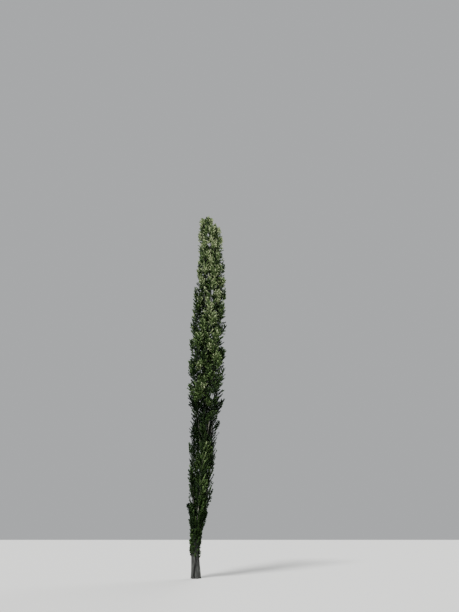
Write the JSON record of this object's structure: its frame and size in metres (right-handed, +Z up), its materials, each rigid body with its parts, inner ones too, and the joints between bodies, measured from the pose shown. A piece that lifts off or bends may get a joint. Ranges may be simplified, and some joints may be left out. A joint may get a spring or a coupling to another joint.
{
  "type": "lombardy poplar tree",
  "caption": "Tall narrow Lombardy poplar: upright fissured trunk with a low root flare, steep boughs and upright plumes of small leaves from near the ground to the tip.",
  "frame": {"origin": "middle of the trunk's flat foot, at ground level", "axes": "+Z up the trunk; the picture was taken from -Y, with +X to its right"},
  "size_m": [2.8246, 3.0071, 27.9891],
  "materials": {
    "bark": "rough fissured grey bark",
    "bough_bark": "smoother grey bark",
    "foliage": "satin green leaves"
  },
  "bodies": {
    "root": {"trunk": "bark", "bough_low_1": "bough_bark", "bough_low_2": "bough_bark", "bough_low_3": "bough_bark", "bough_low_4": "bough_bark", "bough_low_5": "bough_bark", "bough_waist_1": "bough_bark", "bough_waist_2": "bough_bark", "bough_waist_3": "bough_bark", "bough_waist_4": "bough_bark", "bough_waist_5": "bough_bark", "bough_middle_1": "bough_bark", "bough_middle_2": "bough_bark", "bough_middle_3": "bough_bark", "bough_middle_4": "bough_bark", "bough_middle_5": "bough_bark", "bough_high_1": "bough_bark", "bough_high_2": "bough_bark", "bough_high_3": "bough_bark", "bough_high_4": "bough_bark", "bough_high_5": "bough_bark", "bough_top_1": "bough_bark", "bough_top_2": "bough_bark", "bough_top_3": "bough_bark", "bough_top_4": "bough_bark", "bough_top_5": "bough_bark", "foliage_shoot_1": "foliage", "foliage_shoot_2": "foliage", "foliage_shoot_3": "foliage", "foliage_shoot_4": "foliage", "foliage_shoot_5": "foliage", "foliage_low_1": "foliage", "foliage_low_2": "foliage", "foliage_low_3": "foliage", "foliage_low_4": "foliage", "foliage_low_5": "foliage", "foliage_waist_1": "foliage", "foliage_waist_2": "foliage", "foliage_waist_3": "foliage", "foliage_waist_4": "foliage", "foliage_waist_5": "foliage", "foliage_middle_1": "foliage", "foliage_middle_2": "foliage", "foliage_middle_3": "foliage", "foliage_middle_4": "foliage", "foliage_middle_5": "foliage", "foliage_high_1": "foliage", "foliage_high_2": "foliage", "foliage_high_3": "foliage", "foliage_high_4": "foliage", "foliage_high_5": "foliage", "foliage_top_1": "foliage", "foliage_top_2": "foliage", "foliage_top_3": "foliage", "foliage_top_4": "foliage", "foliage_top_5": "foliage", "foliage_leader": "foliage"}
  },
  "joints": []
}
